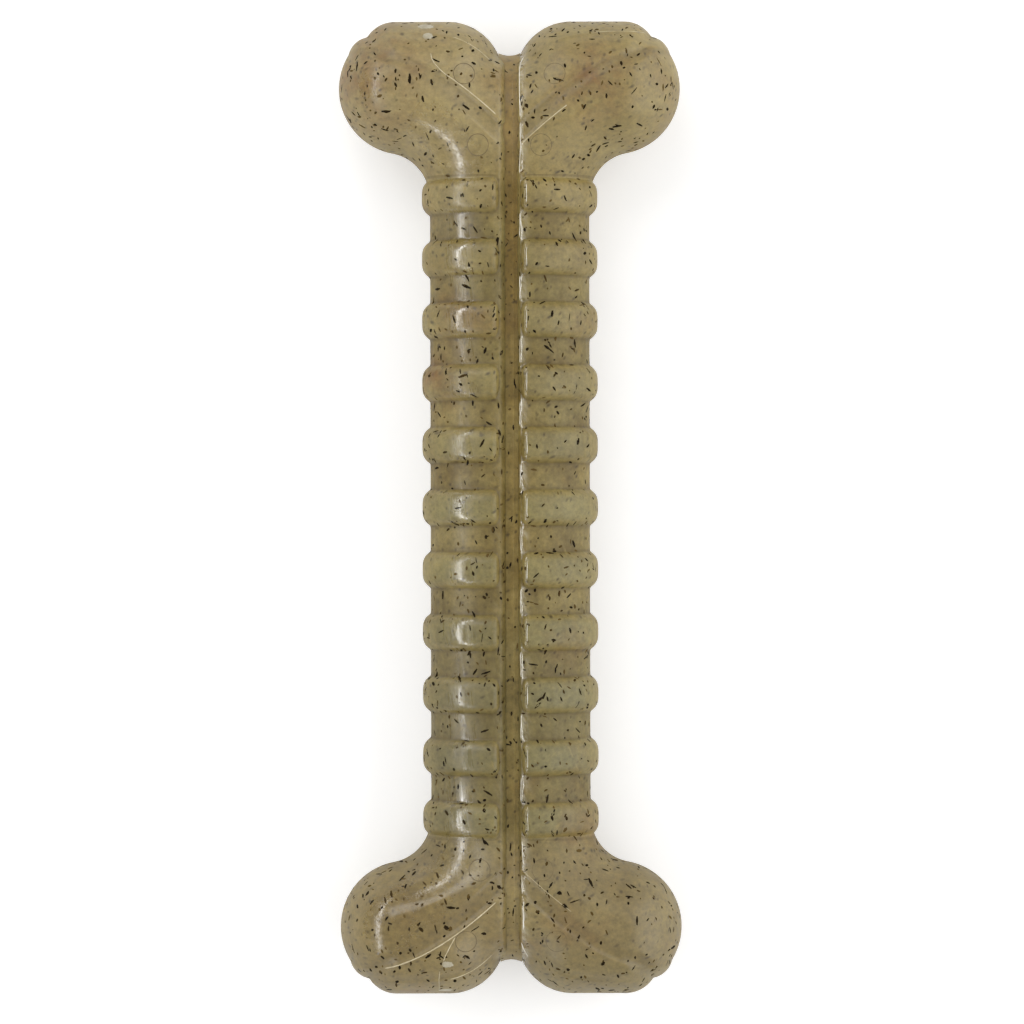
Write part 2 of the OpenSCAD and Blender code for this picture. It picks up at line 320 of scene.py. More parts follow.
def lobeGrid(draft, lipSlope, seed):
    x, y, z, shares = surface
    steps = np.arange(0, groove["wanderSpan"], groove["wanderStep"])
    wander = np.interp(y, steps, np.random.default_rng(seed).normal(0, 1, len(steps)))
    # narrow sloping lip along the groove, a little uneven
    inside = grooveX + groove["lipWidth"] * (1 + groove["lipWander"] * wander) - x
    lip = lipSlope * (inside + np.sqrt(inside ** 2 + groove["lipSoft"] ** 2)) / 2
    lip = lip * np.clip(1 - (x - grooveX) / groove["lipFade"], 0, 1)
    lip = lip * smooth((z - groove["lipLowest"]) / groove["lipLowest"])
    z = np.maximum(z - lip, knuckle["rim"])
    shift = groove["wander"] * np.clip(wander, -groove["wanderLimit"], groove["wanderLimit"])
    x = x + shift * np.exp(-(x - grooveX) / groove["wanderReach"])
    top = np.stack([x, y, z], axis=2)
    outer = top[:, :1] * (1, 1, 0)
    # wall of the groove, with its draft, down to the web and in under its foot
    h = z[:, -1]
    floor = np.minimum(h, webTop(y[:, -1] - rootY))
    edge = x[:, -1]
    foot = edge - draft * np.clip((h - floor) / groove["depth"] * groove["footReach"], 0, 1)
    roll = groove["wallRoll"]
    wall = []
    for k in range(1, mesh["wallSteps"] + 1):
        t = k / mesh["wallSteps"]
        wx = edge + (foot - edge) * t
        wz = h + (floor - h) * (roll * t + (1 - roll) * t * t)      # rolled at the lip, steep at the foot
        wall.append(np.stack([wx, y[:, -1], wz], axis=1)[:, None])
    under = np.stack([np.full_like(h, grooveX), y[:, -1], floor], axis=1)[:, None]
    grid = np.concatenate([outer, top, *wall, under, under * (1, 1, 0)], axis=1)
    extra = np.zeros((len(x), mesh["wallSteps"] + 2))
    grid = np.concatenate([grid, grid[-1:] * (1, 1, 0)])        # closes the end of the bone
    masks = {}
    for name, values in shares.items():
        values = np.concatenate([values[:, :1], values, extra], axis=1)
        masks[name] = np.concatenate([values, values[-1:]])
    return grid, masks


def onlySelect(piece):
    bpy.ops.object.select_all(action="DESELECT")
    piece.select_set(True)
    bpy.context.view_layer.objects.active = piece


def sheetPiece(name, sheet):       # a grid with its points laid on the sheet
    bpy.ops.object.select_all(action="DESELECT")
    rows, cols = sheet.shape[:2]
    bpy.ops.mesh.primitive_grid_add(x_subdivisions=cols - 1, y_subdivisions=rows - 1, size=1)
    piece = bpy.context.object
    piece.name = name
    piece.data.vertices.foreach_set("co", (sheet * mm).ravel())
    return piece


def closeHalves(piece, smoothAngle, dissolve=False):
    half = piece.modifiers.new("halves", "MIRROR")
    half.use_axis = (False, True, True)
    half.merge_threshold = 1e-6
    bpy.ops.object.modifier_apply(modifier="halves")
    bpy.ops.object.mode_set(mode="EDIT")
    bpy.ops.mesh.select_all(action="SELECT")
    bpy.ops.mesh.remove_doubles(threshold=1e-6)
    if dissolve:
        bpy.ops.mesh.dissolve_degenerate(threshold=1e-7)
    bpy.ops.mesh.normals_make_consistent(inside=False)
    bpy.ops.transform.translate(value=(0, 0, halfThick * mm))
    bpy.ops.object.mode_set(mode="OBJECT")
    bpy.ops.object.shade_smooth_by_angle(angle=math.radians(smoothAngle))
    print(piece.name, len(piece.data.polygons), "faces")


def buildLobe(name, side, grid, masks):
    piece = sheetPiece(name, grid * (side, 1, 1))
    for key, values in masks.items():
        piece.data.attributes.new(key, "FLOAT", "POINT").data.foreach_set("value", values.ravel())
    closeHalves(piece, mesh["smoothAngle"], dissolve=True)
    return piece


grid, masks = lobeGrid(groove["leftDraft"], groove["leftLip"], 1)
# the left lip, turned away from the lamp, gets little of the smoothness and of the painted highlight
masks["shine"] = masks["shine"] * wornAndLit["leftLip"]
leftLobe = buildLobe("left_lobe_nylon", -1, grid, masks)
rightLobe = buildLobe("right_lobe_nylon", 1, *lobeGrid(groove["rightDraft"], groove["rightLip"], 2))

# Web along the floor of the groove, its ends hollowed in plan, with a fine line along it
web = dict(lineX=0.7, lineW=0.2, lineH=0.05, hollow=0.1, corner=0.45, endPower=4, shaftRows=24, endRows=28,
           columns=11, smoothAngle=40)


def buildWeb():
    v = np.concatenate([np.linspace(-rootY, 0, web["shaftRows"], endpoint=False),
                        notchV * np.sin(np.linspace(0, math.pi / 2, web["endRows"]))])
    line = [web["lineX"] + k * web["lineW"] for k in (-1, -0.5, 0, 0.5, 1)]
    across = np.array(sorted(list(np.linspace(-grooveX, grooveX, web["columns"])) + line))
    top = np.repeat(webTop(v)[:, None], len(across), axis=1)
    bump = np.clip(1 - np.abs(across - web["lineX"]) / web["lineW"], 0, 1)
    top = top + web["lineH"] * bump * (webTop(v) > shaftHt / 2)[:, None]
    reach = np.clip(v / notchV, 0, 1)[:, None] ** web["endPower"]
    along = rootY + v[:, None] + reach * (web["corner"] * (across / grooveX) ** 2 - web["hollow"])
    wide = np.repeat(across[None], len(v), axis=0)
    sheet = np.stack([wide, along, top], axis=2)
    sheet = np.concatenate([sheet[:, :1] * (1, 1, 0), sheet, sheet[:, -1:] * (1, 1, 0)], axis=1)
    piece = sheetPiece("centre_web_nylon", sheet)
    closeHalves(piece, web["smoothAngle"])
    return piece


centreWeb = buildWeb()

# Flecks: short dark grains lying in the surface
fleck = dict(seed=7, perSquareMm=0.195, black=0.46, length=0.98, faintLength=0.66, lengthSpread=0.44,
             lengthRange=(0.35, 2.2), width=0.42, widthSpread=0.26, widthRange=(0.2, 0.8), widest=0.75,
             wobble=(0.72, 1.12), proud=0.02, depth=0.12, along=0.25, webScale=0.85,
             blackTone=0.25, faintTone=0.35, faintSpan=0.65, lobeMargin=(0.15, 0.4), webMargin=(0.1, 0.3))
grain = dict(corners=6, inset=0.13, crown=0.12)


def grainTemplate():
    bpy.ops.object.select_all(action="DESELECT")
    bpy.ops.mesh.primitive_cylinder_add(vertices=grain["corners"], radius=0.5, depth=1, end_fill_type="NGON")
    made = bpy.context.object
    bpy.ops.object.mode_set(mode="EDIT")
    bpy.ops.mesh.select_all(action="DESELECT")
    bpy.ops.object.mode_set(mode="OBJECT")
    for face in made.data.polygons:
        face.select = face.normal.z > 0.9
    bpy.ops.object.mode_set(mode="EDIT")
    bpy.ops.mesh.select_mode(type="FACE")
    bpy.ops.mesh.inset(thickness=grain["inset"])
    bpy.ops.transform.translate(value=(0, 0, grain["crown"]))
    bpy.ops.object.mode_set(mode="OBJECT")
    co = np.array([tuple(p.co) for p in made.data.vertices])
    faces = [tuple(f.vertices) for f in made.data.polygons]
    bpy.data.objects.remove(made, do_unlink=True)
    co[:, 2] = (co[:, 2] - co[:, 2].min()) / (co[:, 2].max() - co[:, 2].min())
    return co, faces


grainCo, grainFaces = grainTemplate()


def scatterFlecks(name, host, seed, visible, scale=1.0):
    rng = np.random.default_rng(seed)
    data = host.data
    data.calc_loop_triangles()
    co = np.empty(len(data.vertices) * 3)
    data.vertices.foreach_get("co", co)
    co = co.reshape(-1, 3) / mm
    tris = np.empty(len(data.loop_triangles) * 3, dtype=np.int32)
    data.loop_triangles.foreach_get("vertices", tris)
    corner = co[tris.reshape(-1, 3)]
    corner = corner[visible(corner.mean(axis=1))]
    normal = np.cross(corner[:, 1] - corner[:, 0], corner[:, 2] - corner[:, 0])
    area = np.linalg.norm(normal, axis=1) / 2
    count = int(area.sum() * fleck["perSquareMm"])
    pick = rng.choice(len(area), size=count, p=area / area.sum())
    a, b = rng.random((2, count))
    flip = a + b > 1
    a, b = np.where(flip, 1 - a, a), np.where(flip, 1 - b, b)
    first, second, third = (corner[pick, k] for k in range(3))
    spot = first + a[:, None] * (second - first) + b[:, None] * (third - first)
    up = normal[pick] / (2 * area[pick, None])
    turn = rng.uniform(0, math.pi, count)
    turn = turn - fleck["along"] * np.sin(2 * turn)     # slightly more of them lie along the bone
    base = np.cross(up, np.where(np.abs(up[:, 1:2]) > 0.95, [[1.0, 0, 0]], [[0, 1.0, 0]]))
    base = base / np.linalg.norm(base, axis=1)[:, None]
    other = np.cross(up, base)
    long = base * np.sin(turn)[:, None] + other * np.cos(turn)[:, None]
    wide = np.cross(up, long)
    isBlack = rng.random(count) < fleck["black"]
    tone = np.where(isBlack, fleck["blackTone"], fleck["faintSpan"]) * rng.random(count)
    tone = tone + np.where(isBlack, 0, fleck["faintTone"])
    length = np.where(isBlack, fleck["length"], fleck["faintLength"])
    length = length * np.exp(rng.normal(0, fleck["lengthSpread"], count))
    length = np.clip(length, *fleck["lengthRange"]) * scale
    width = fleck["width"] * np.exp(rng.normal(0, fleck["widthSpread"], count))
    width = np.minimum(np.clip(width, *fleck["widthRange"]) * scale, length * fleck["widest"])
    wobble = rng.uniform(*fleck["wobble"], (count, len(grainCo), 1))
    tree = BVHTree.FromPolygons([Vector(p) for p in co], [tuple(t) for t in tris.reshape(-1, 3)])
    points = np.empty((count, len(grainCo), 3))
    flatCo = grainCo[None, :, :2] * wobble
    for i in range(count):
        for j, g in enumerate(grainCo):
            away = spot[i] + long[i] * flatCo[i, j, 0] * length[i] + wide[i] * flatCo[i, j, 1] * width[i]
            near, n = tree.find_nearest(Vector(away))[:2]
            points[i, j] = near + n * (g[2] * (fleck["proud"] + fleck["depth"]) - fleck["depth"])
    points = np.clip(points, np.array(cadLow) / mm, np.array(cadHigh) / mm)
    faces = [tuple(k + i * len(grainCo) for k in f) for i in range(count) for f in grainFaces]
    made = bpy.data.meshes.new(name)
    made.from_pydata((points.reshape(-1, 3) * mm).tolist(), [], faces)
    shade = made.attributes.new("tone", "FLOAT", "POINT")
    shade.data.foreach_set("value", np.repeat(tone, len(grainCo)))
    piece = bpy.data.objects.new(name, made)
    bpy.context.collection.objects.link(piece)
    onlySelect(piece)
    bpy.ops.object.mode_set(mode="EDIT")
    bpy.ops.mesh.select_all(action="SELECT")
    bpy.ops.mesh.normals_make_consistent(inside=False)
    bpy.ops.object.mode_set(mode="OBJECT")
    print(name, count, "flecks")
    return piece


def lobeShows(middle):             # leaves out the wall that the web covers
    beside, above = fleck["lobeMargin"]
    x, y, z = np.abs(middle - (0, 0, halfThick)).T
    return (x > grooveX + beside) | (z > webTop(y - rootY) + above)


def webShows(middle):
    beside, below = fleck["webMargin"]
    x, y, z = np.abs(middle - (0, 0, halfThick)).T
    return (z > webTop(y - rootY) - below) & (x < grooveX - beside)


leftFlecks = scatterFlecks("left_lobe_flecks", leftLobe, fleck["seed"] + 1, lobeShows)
rightFlecks = scatterFlecks("right_lobe_flecks", rightLobe, fleck["seed"] + 2, lobeShows)
webFlecks = scatterFlecks("centre_web_flecks", centreWeb, fleck["seed"] + 3, webShows, fleck["webScale"])

# Marks of the mould on the front of the knuckles: rings of the ejector pins, fine raised lines along the
# edges of the valleys, coloured pale as painted highlights, and the scars of two gates on the left lobe
pinMark = dict(outer=(8.15, 78.2), inner=(5.7, 65.4), radius=1.9, leftWire=0.085, rightWire=0.06, sunk=0.6,
               steps=72, wireSides=8)
seam = dict(sunk=0.45, step=0.25, taper=0.5, thinnest=0.15, edgePoints=40)
leftSeams = (       # edge, from x, to x, end of the bone, radius
    (toeEdge, 2.3, 11.8, 1, 0.13), (toeEdge, 2.6, 23.0, -1, 0.14),
    (capEdge, 3.2, 10.4, 1, 0.08), (capEdge, 3.4, 11.2, -1, 0.1))
leftBranches = (    # points of a line, radius
    (((-10.8, 77.4), (-12.5, 78.9), (-13.4, 79.9), (-14.0, 81.0), (-14.2, 82.2)), 0.1),
    (((-10.0, -77.2), (-11.0, -79.0), (-11.9, -80.8), (-12.3, -82.0)), 0.12),
    (((-12.9, -83.4), (-13.1, -85.4), (-13.1, -87.6)), 0.05))
rightSeams = ((armEdge, 2.2, 10.6, 1, 0.12), (capEdge, 15.0, 25.0, 1, 0.07), (armEdge, 2.4, 11.0, -1, 0.05))
# Fine raised lines on the right lobe, coloured near white as painted highlights: along the groove between the
# ribs and on the knuckles, and across the ends of the ribs
highlightLine = dict(lipX=1.86, lipRadius=0.11, facetX=3.05, facetRadius=0.08, facetHalf=1.9, wander=0.04,
                wanderLimit=1.5, radiusRange=(0.7, 1.1), seed=5)
knuckleLip = (
    ((2.65, 82.0), (2.05, 80.6), (1.85, 79.3), (1.85, 75.2), (1.92, 72.1), (1.95, 70.2)),
    ((1.97, 69.6), (1.97, 66.7), (2.05, 65.4), (1.86, 62.6), (1.84, 60.2)),
    ((2.0, -60.1), (2.1, -62.4), (2.22, -64.4)), ((1.97, -66.2), (1.98, -68.0), (2.02, -69.8)),
    ((2.1, -71.5), (2.25, -72.4), (2.2, -76.4)), ((1.8, -78.6), (2.2, -79.9), (3.1, -81.7)))
scar = dict(seed=3, corners=30, rings=3, inset=0.13, ragged=0.22, rim=0.9, proud=0.035, rimSunk=0.02,
            endFrom=88, endHeight=8)
gateScars = (       # place, size
    ((-15.2, 87.4), (3.2, 2.4)), ((-14.7, 85.3), (2.0, 2.0)),
    ((-11.5, -82.4), (2.2, 1.5)), ((-12.0, -87.7), (3.0, 1.3)))


def surfaceTree(host):
    faces = [tuple(f.vertices) for f in host.data.polygons]
    return BVHTree.FromPolygons([p.co for p in host.data.vertices], faces)


def onTop(tree, x, y):
    return tree.ray_cast(Vector((x * mm, y * mm, 0.1)), Vector((0, 0, -1)))[0]


def joinPieces(pieces, name):
    bpy.ops.object.select_all(action="DESELECT")
    for piece in pieces:
        piece.select_set(True)
    bpy.context.view_layer.objects.active = pieces[0]
    bpy.ops.object.join()
    pieces[0].name = name
    for p in pieces[0].data.vertices:
        p.co = [min(max(c, low), high) for c, low, high in zip(p.co, cadLow, cadHigh)]
    bpy.ops.object.shade_smooth()
    bpy.ops.object.origin_set(type="ORIGIN_CURSOR")
    print(name, len(pieces), "marks")
    return pieces[0]


def buildPinMarks(name, host, side, wire):
    tree = surfaceTree(host)
    rings = []
    for px, py in (pinMark["outer"], pinMark["inner"]):
        for end in (1, -1):
            bpy.ops.object.select_all(action="DESELECT")
            bpy.ops.mesh.primitive_torus_add(major_radius=pinMark["radius"] * mm, minor_radius=wire * mm,
                                             major_segments=pinMark["steps"],
                                             minor_segments=pinMark["wireSides"],
                                             location=(side * px * mm, end * py * mm, 0))
            ring = bpy.context.object
            bpy.ops.object.transform_apply(location=True, rotation=True, scale=True)
            for p in ring.data.vertices:
                p.co.z += onTop(tree, p.co.x / mm, p.co.y / mm).z - pinMark["sunk"] * wire * mm
            rings.append(ring)
    return joinPieces(rings, name)


def fineLine(tree, points, radius):
    points = np.array(points)
    length = np.concatenate([[0], np.cumsum(np.linalg.norm(np.diff(points, axis=0), axis=1))])
    at = np.linspace(0, length[-1], max(6, int(length[-1] / seam["step"])))
    x, y = (np.interp(at, length, points[:, i]) for i in (0, 1))
    path = [onTop(tree, *spot) for spot in zip(x, y)]
    bpy.ops.object.select_all(action="DESELECT")
    bpy.ops.curve.primitive_nurbs_path_add(location=(0, 0, 0))
    line = bpy.context.object
    line.data.splines.clear()
    spline = line.data.splines.new("POLY")
    spline.points.add(len(path) - 1)
    for i, (p, hit) in enumerate(zip(spline.points, path)):
        p.co = (hit.x, hit.y, hit.z - seam["sunk"] * radius * mm, 1)
        toEnd = min(at[i], at[-1] - at[i])
        p.radius = max(seam["thinnest"], min(1, toEnd / seam["taper"]))
    line.data.bevel_depth = radius * mm
    line.data.bevel_resolution = 2
    line.data.use_fill_caps = True
    bpy.ops.object.convert(target="MESH")
    return bpy.context.object


def buildSeams(name, host, side, edges, branches=()):
    tree = surfaceTree(host)
    lines = []
    for edge, x0, x1, end, radius in edges:
        x = np.linspace(x0, x1, seam["edgePoints"])
        y = end * (rootY + fallingEdge(edge, x))
        lines.append(fineLine(tree, np.stack([side * x, y], axis=1), radius))
    lines += [fineLine(tree, points, radius) for points, radius in branches]
    return joinPieces(lines, name)


def highlightRuns():
    rng = np.random.default_rng(highlightLine["seed"])
    pitch = shaft["pitch"]
    spans = [(k * pitch + footV, (k + 1) * pitch - footV, "lip") for k in range(-lastRib, lastRib)]
    half, limit = highlightLine["facetHalf"], highlightLine["wanderLimit"]
    spans += [(k * pitch - half, k * pitch + half, "facet") for k in range(-lastRib, lastRib + 1)]
    runs = [(points, highlightLine["lipRadius"]) for points in knuckleLip]
    for y0, y1, kind in spans:
        y = np.linspace(y0, y1, int(y1 - y0) + 1)
        x = highlightLine[kind + "X"] + highlightLine["wander"] * np.clip(rng.normal(0, 1, len(y)), -limit, limit)
        radius = highlightLine[kind + "Radius"] * rng.uniform(*highlightLine["radiusRange"])
        runs.append((np.stack([x, y], axis=1), radius))
    return runs


def buildScars(name, host):
    tree = surfaceTree(host)
    rng = np.random.default_rng(scar["seed"])
    across = Vector((1, 0, 0))
    scars = []
    for (x, y), (wide, tall) in gateScars:
        bpy.ops.object.select_all(action="DESELECT")
        bpy.ops.mesh.primitive_circle_add(vertices=scar["corners"], radius=0.5, fill_type="NGON")
        patch = bpy.context.object
        bpy.ops.object.mode_set(mode="EDIT")
        bpy.ops.mesh.select_all(action="SELECT")
        for k in range(scar["rings"]):
            bpy.ops.mesh.inset(thickness=scar["inset"])
        bpy.ops.object.mode_set(mode="OBJECT")
        hit, up = tree.find_nearest(Vector((x, y, halfThick + scar["endHeight"])) * mm)[:2]
        if abs(y) < scar["endFrom"]:
            hit = onTop(tree, x, y)
            up = tree.find_nearest(hit)[1]
        down = across.cross((up - across * up.x).normalized())
        for p in patch.data.vertices:
            ring = min(1, p.co.length / 0.5)
            ragged = 1 + (scar["ragged"] * rng.uniform(-1, 1) if ring > scar["rim"] else 0)
            away = hit + across * (p.co.x * ragged * wide * mm) + down * (p.co.y * ragged * tall * mm)
            near, n = tree.find_nearest(away)[:2]
            p.co = near + n * ((scar["proud"] if ring < scar["rim"] else -scar["rimSunk"]) * mm)
        scars.append(patch)
    return joinPieces(scars, name)


leftPins = buildPinMarks("left_pin_marks", leftLobe, -1, pinMark["leftWire"])
rightPins = buildPinMarks("right_pin_marks", rightLobe, 1, pinMark["rightWire"])
leftLines = buildSeams("left_seam_lines", leftLobe, -1, leftSeams, leftBranches)
rightLines = buildSeams("right_seam_lines", rightLobe, 1, rightSeams)
rightHighlightLines = buildSeams("right_highlight_lines", rightLobe, 1, (), highlightRuns())
leftScars = buildScars("left_gate_scars", leftLobe)


# Materials
class Graph:
    def __init__(self, name):
        self.material = bpy.data.materials.new(name)
        self.material.use_nodes = True
        self.tree = self.material.node_tree
        self.shader = self.tree.nodes["Principled BSDF"]
        self.coords = self.tree.nodes.new("ShaderNodeTexCoord").outputs["Object"]

    def set(self, socket, value):
        if isinstance(value, bpy.types.NodeSocket):
            self.tree.links.new(value, socket)
        else:
            socket.default_value = value

    def add(self, kind, sockets=None, **settings):
        made = self.tree.nodes.new("ShaderNode" + kind)
        for key, value in settings.items():
            setattr(made, key, value)
        for key, value in (sockets or {}).items():
            self.set(made.inputs[key], value)
        return made

    def attribute(self, name):
        return self.add("Attribute", attribute_name=name).outputs["Fac"]

    def noise(self, scale, detail, rough, coords=None):
        made = self.add("TexNoise", {"Vector": coords or self.coords, "Scale": scale})
        self.set(made.inputs["Detail"], detail)
        self.set(made.inputs["Roughness"], rough)
        return made.outputs["Fac"]

    def ramp(self, value, *stops):
        made = self.add("ValToRGB", {"Fac": value})
        band = made.color_ramp.elements
        while len(band) < len(stops):
            band.new(0.5)
        for item, (place, colour) in zip(band, stops):
            item.position = place
            item.color = (*colour, 1) if isinstance(colour, tuple) else (colour, colour, colour, 1)
        return made.outputs["Color"]

    def mix(self, share, a, b, how="MIX"):
        made = self.add("Mix", data_type="RGBA", blend_type=how)
        for key, value in ((0, share), (6, a), (7, b)):
            self.set(made.inputs[key], (*value, 1) if isinstance(value, tuple) else value)
        return made.outputs[2]

    def math(self, how, a, b):
        made = self.add("Math", operation=how)
        self.set(made.inputs[0], a)
        self.set(made.inputs[1], b)
        return made.outputs[0]

    def times(self, a, b):
        return self.math("MULTIPLY", a, b)

    def between(self, value, low, high, atLow=0.0, atHigh=1.0):
        made = self.add("MapRange", {"Value": value, "From Min": low, "From Max": high})
        self.set(made.inputs["To Min"], atLow)
        self.set(made.inputs["To Max"], atHigh)
        return made.outputs["Result"]

    def near(self, spot, reach):   # 1 at the spot, 0 at its reach
        away = self.add("VectorMath", operation="DISTANCE")
        self.set(away.inputs[0], self.coords)
        self.set(away.inputs[1], spot)
        return self.between(away.outputs["Value"], 0.0, reach, 1.0, 0.0)

    def stretched(self, turn, scale):
        sockets = {"Vector": self.coords, "Rotation": turn, "Scale": scale}
        return self.add("Mapping", sockets, vector_type="TEXTURE").outputs["Vector"]


# Colours and shares of the nylon, lengths here in metres: ribPale, ribCool and endShare are given for the
# lower half and the upper one
nylonLook = dict(pale=(0.305, 0.23, 0.074), olive=(0.16, 0.135, 0.05), cool=(0.205, 0.2, 0.08),
                 stain=(0.18, 0.078, 0.012), ribFootShade=(0.11, 0.072, 0.016), grain=(0.035, 0.021, 0.005),
                 scuffAndSheen=(0.5, 0.45, 0.33), lowerOlive=0.5, ribPale=(0.08, 0.3), ribCool=(0.34, 0.04),
                 endShare=(0.2, 0.6), endFrom=(0.058, 0.066), tipGlowShare=0.55, valleyShadeShare=0.3, half=0.06)
gloss = dict(stripeX=-0.009, stripeEdge=(0.001, 0.0045), bayFrom=(0.018, 0.042), bayShare=0.3, wornRough=0.14,
             ribShare=0.5, stripeLevel=0.25, ior=1.53, bumpStrength=0.14, bumpDistance=0.0002)
glow = dict(weight=0.3, radius=(1.0, 0.75, 0.35), scale=0.003)      # light that scatters in the nylon
# Noise patterns: scale, detail, roughness
clouds = dict(mottle=(130, 6, 0.62), olive=(34, 3, 0.6), stain=(48, 4, 0.6), patch=(160, 4, 0.65),
              speckle=(1000, 4, 0.7), scuffAndSheen=(900, 4, 0.7), streak=(1100, 3, 0.6), stripe=(75, 2, 0.5),
              knuckle=(500, 4, 0.6), polish=(700, 4, 0.7), bump=(700, 5, 0.65), markTone=(500, 4, 0.6),
              markGloss=(900, 3, 0.6), fleckTone=(1500, 2, 0.5), fleckGloss=(2000, 2, 0.5))
grainLayers = (((0.3, 0.2, 0.5), 280.0), ((0.7, 1.1, 2.0), 320.0),
               ((1.3, 0.4, 1.2), 360.0), ((2.2, 0.9, 2.9), 250.0))      # turn, scale
scratchLayers = ((0.35, 300.0), (-0.8, 340.0))
# Tones of the lobes and of the web, with places that are paler or darker: place, reach, colour, share
lobeTones = dict(tan=(0.218, 0.158, 0.046), pale=(0.305, 0.23, 0.074), deep=(0.142, 0.094, 0.02),
                 end=(0.305, 0.23, 0.074), spots=(
                     ((-0.016, 0.072, 0.022), 0.026, (0.37, 0.285, 0.125), 0.55),
                     ((-0.011, -0.042, 0.019), 0.032, (0.13, 0.115, 0.052), 0.5),
                     ((-0.016, -0.074, 0.022), 0.024, (0.2, 0.13, 0.042), 0.5),
                     ((0.016, -0.074, 0.022), 0.024, (0.2, 0.135, 0.045), 0.5),
                     ((-0.011, -0.034, 0.019), 0.022, (0.16, 0.115, 0.035), 0.3)))
# the web's tones are lighter than the lobes': painted light that makes up for the shade in the groove
webLightenedTones = dict(tan=(0.315, 0.222, 0.06), pale=(0.36, 0.265, 0.088), deep=(0.24, 0.16, 0.036),
                end=(0.23, 0.15, 0.032), spots=(((0, 0.05, 0.02), 0.036, (0.2, 0.108, 0.006), 0.6),))
# Brown stains, and smooth places on the left knuckles: place, reach
stainSpots = (((-0.0275, 0.079, 0.02), 0.016), ((0.015, 0.077, 0.025), 0.01),
              ((-0.0135, 0.024, 0.018), 0.009))
polishedSpots = (((-0.0095, 0.063, 0.0225), 0.007), ((-0.0135, 0.0685, 0.0225), 0.0075),
                 ((-0.0239, 0.0763, 0.021), 0.005), ((-0.0094, -0.0642, 0.0225), 0.007),
                 ((-0.0156, -0.0701, 0.0225), 0.008), ((-0.0215, -0.0755, 0.022), 0.008))


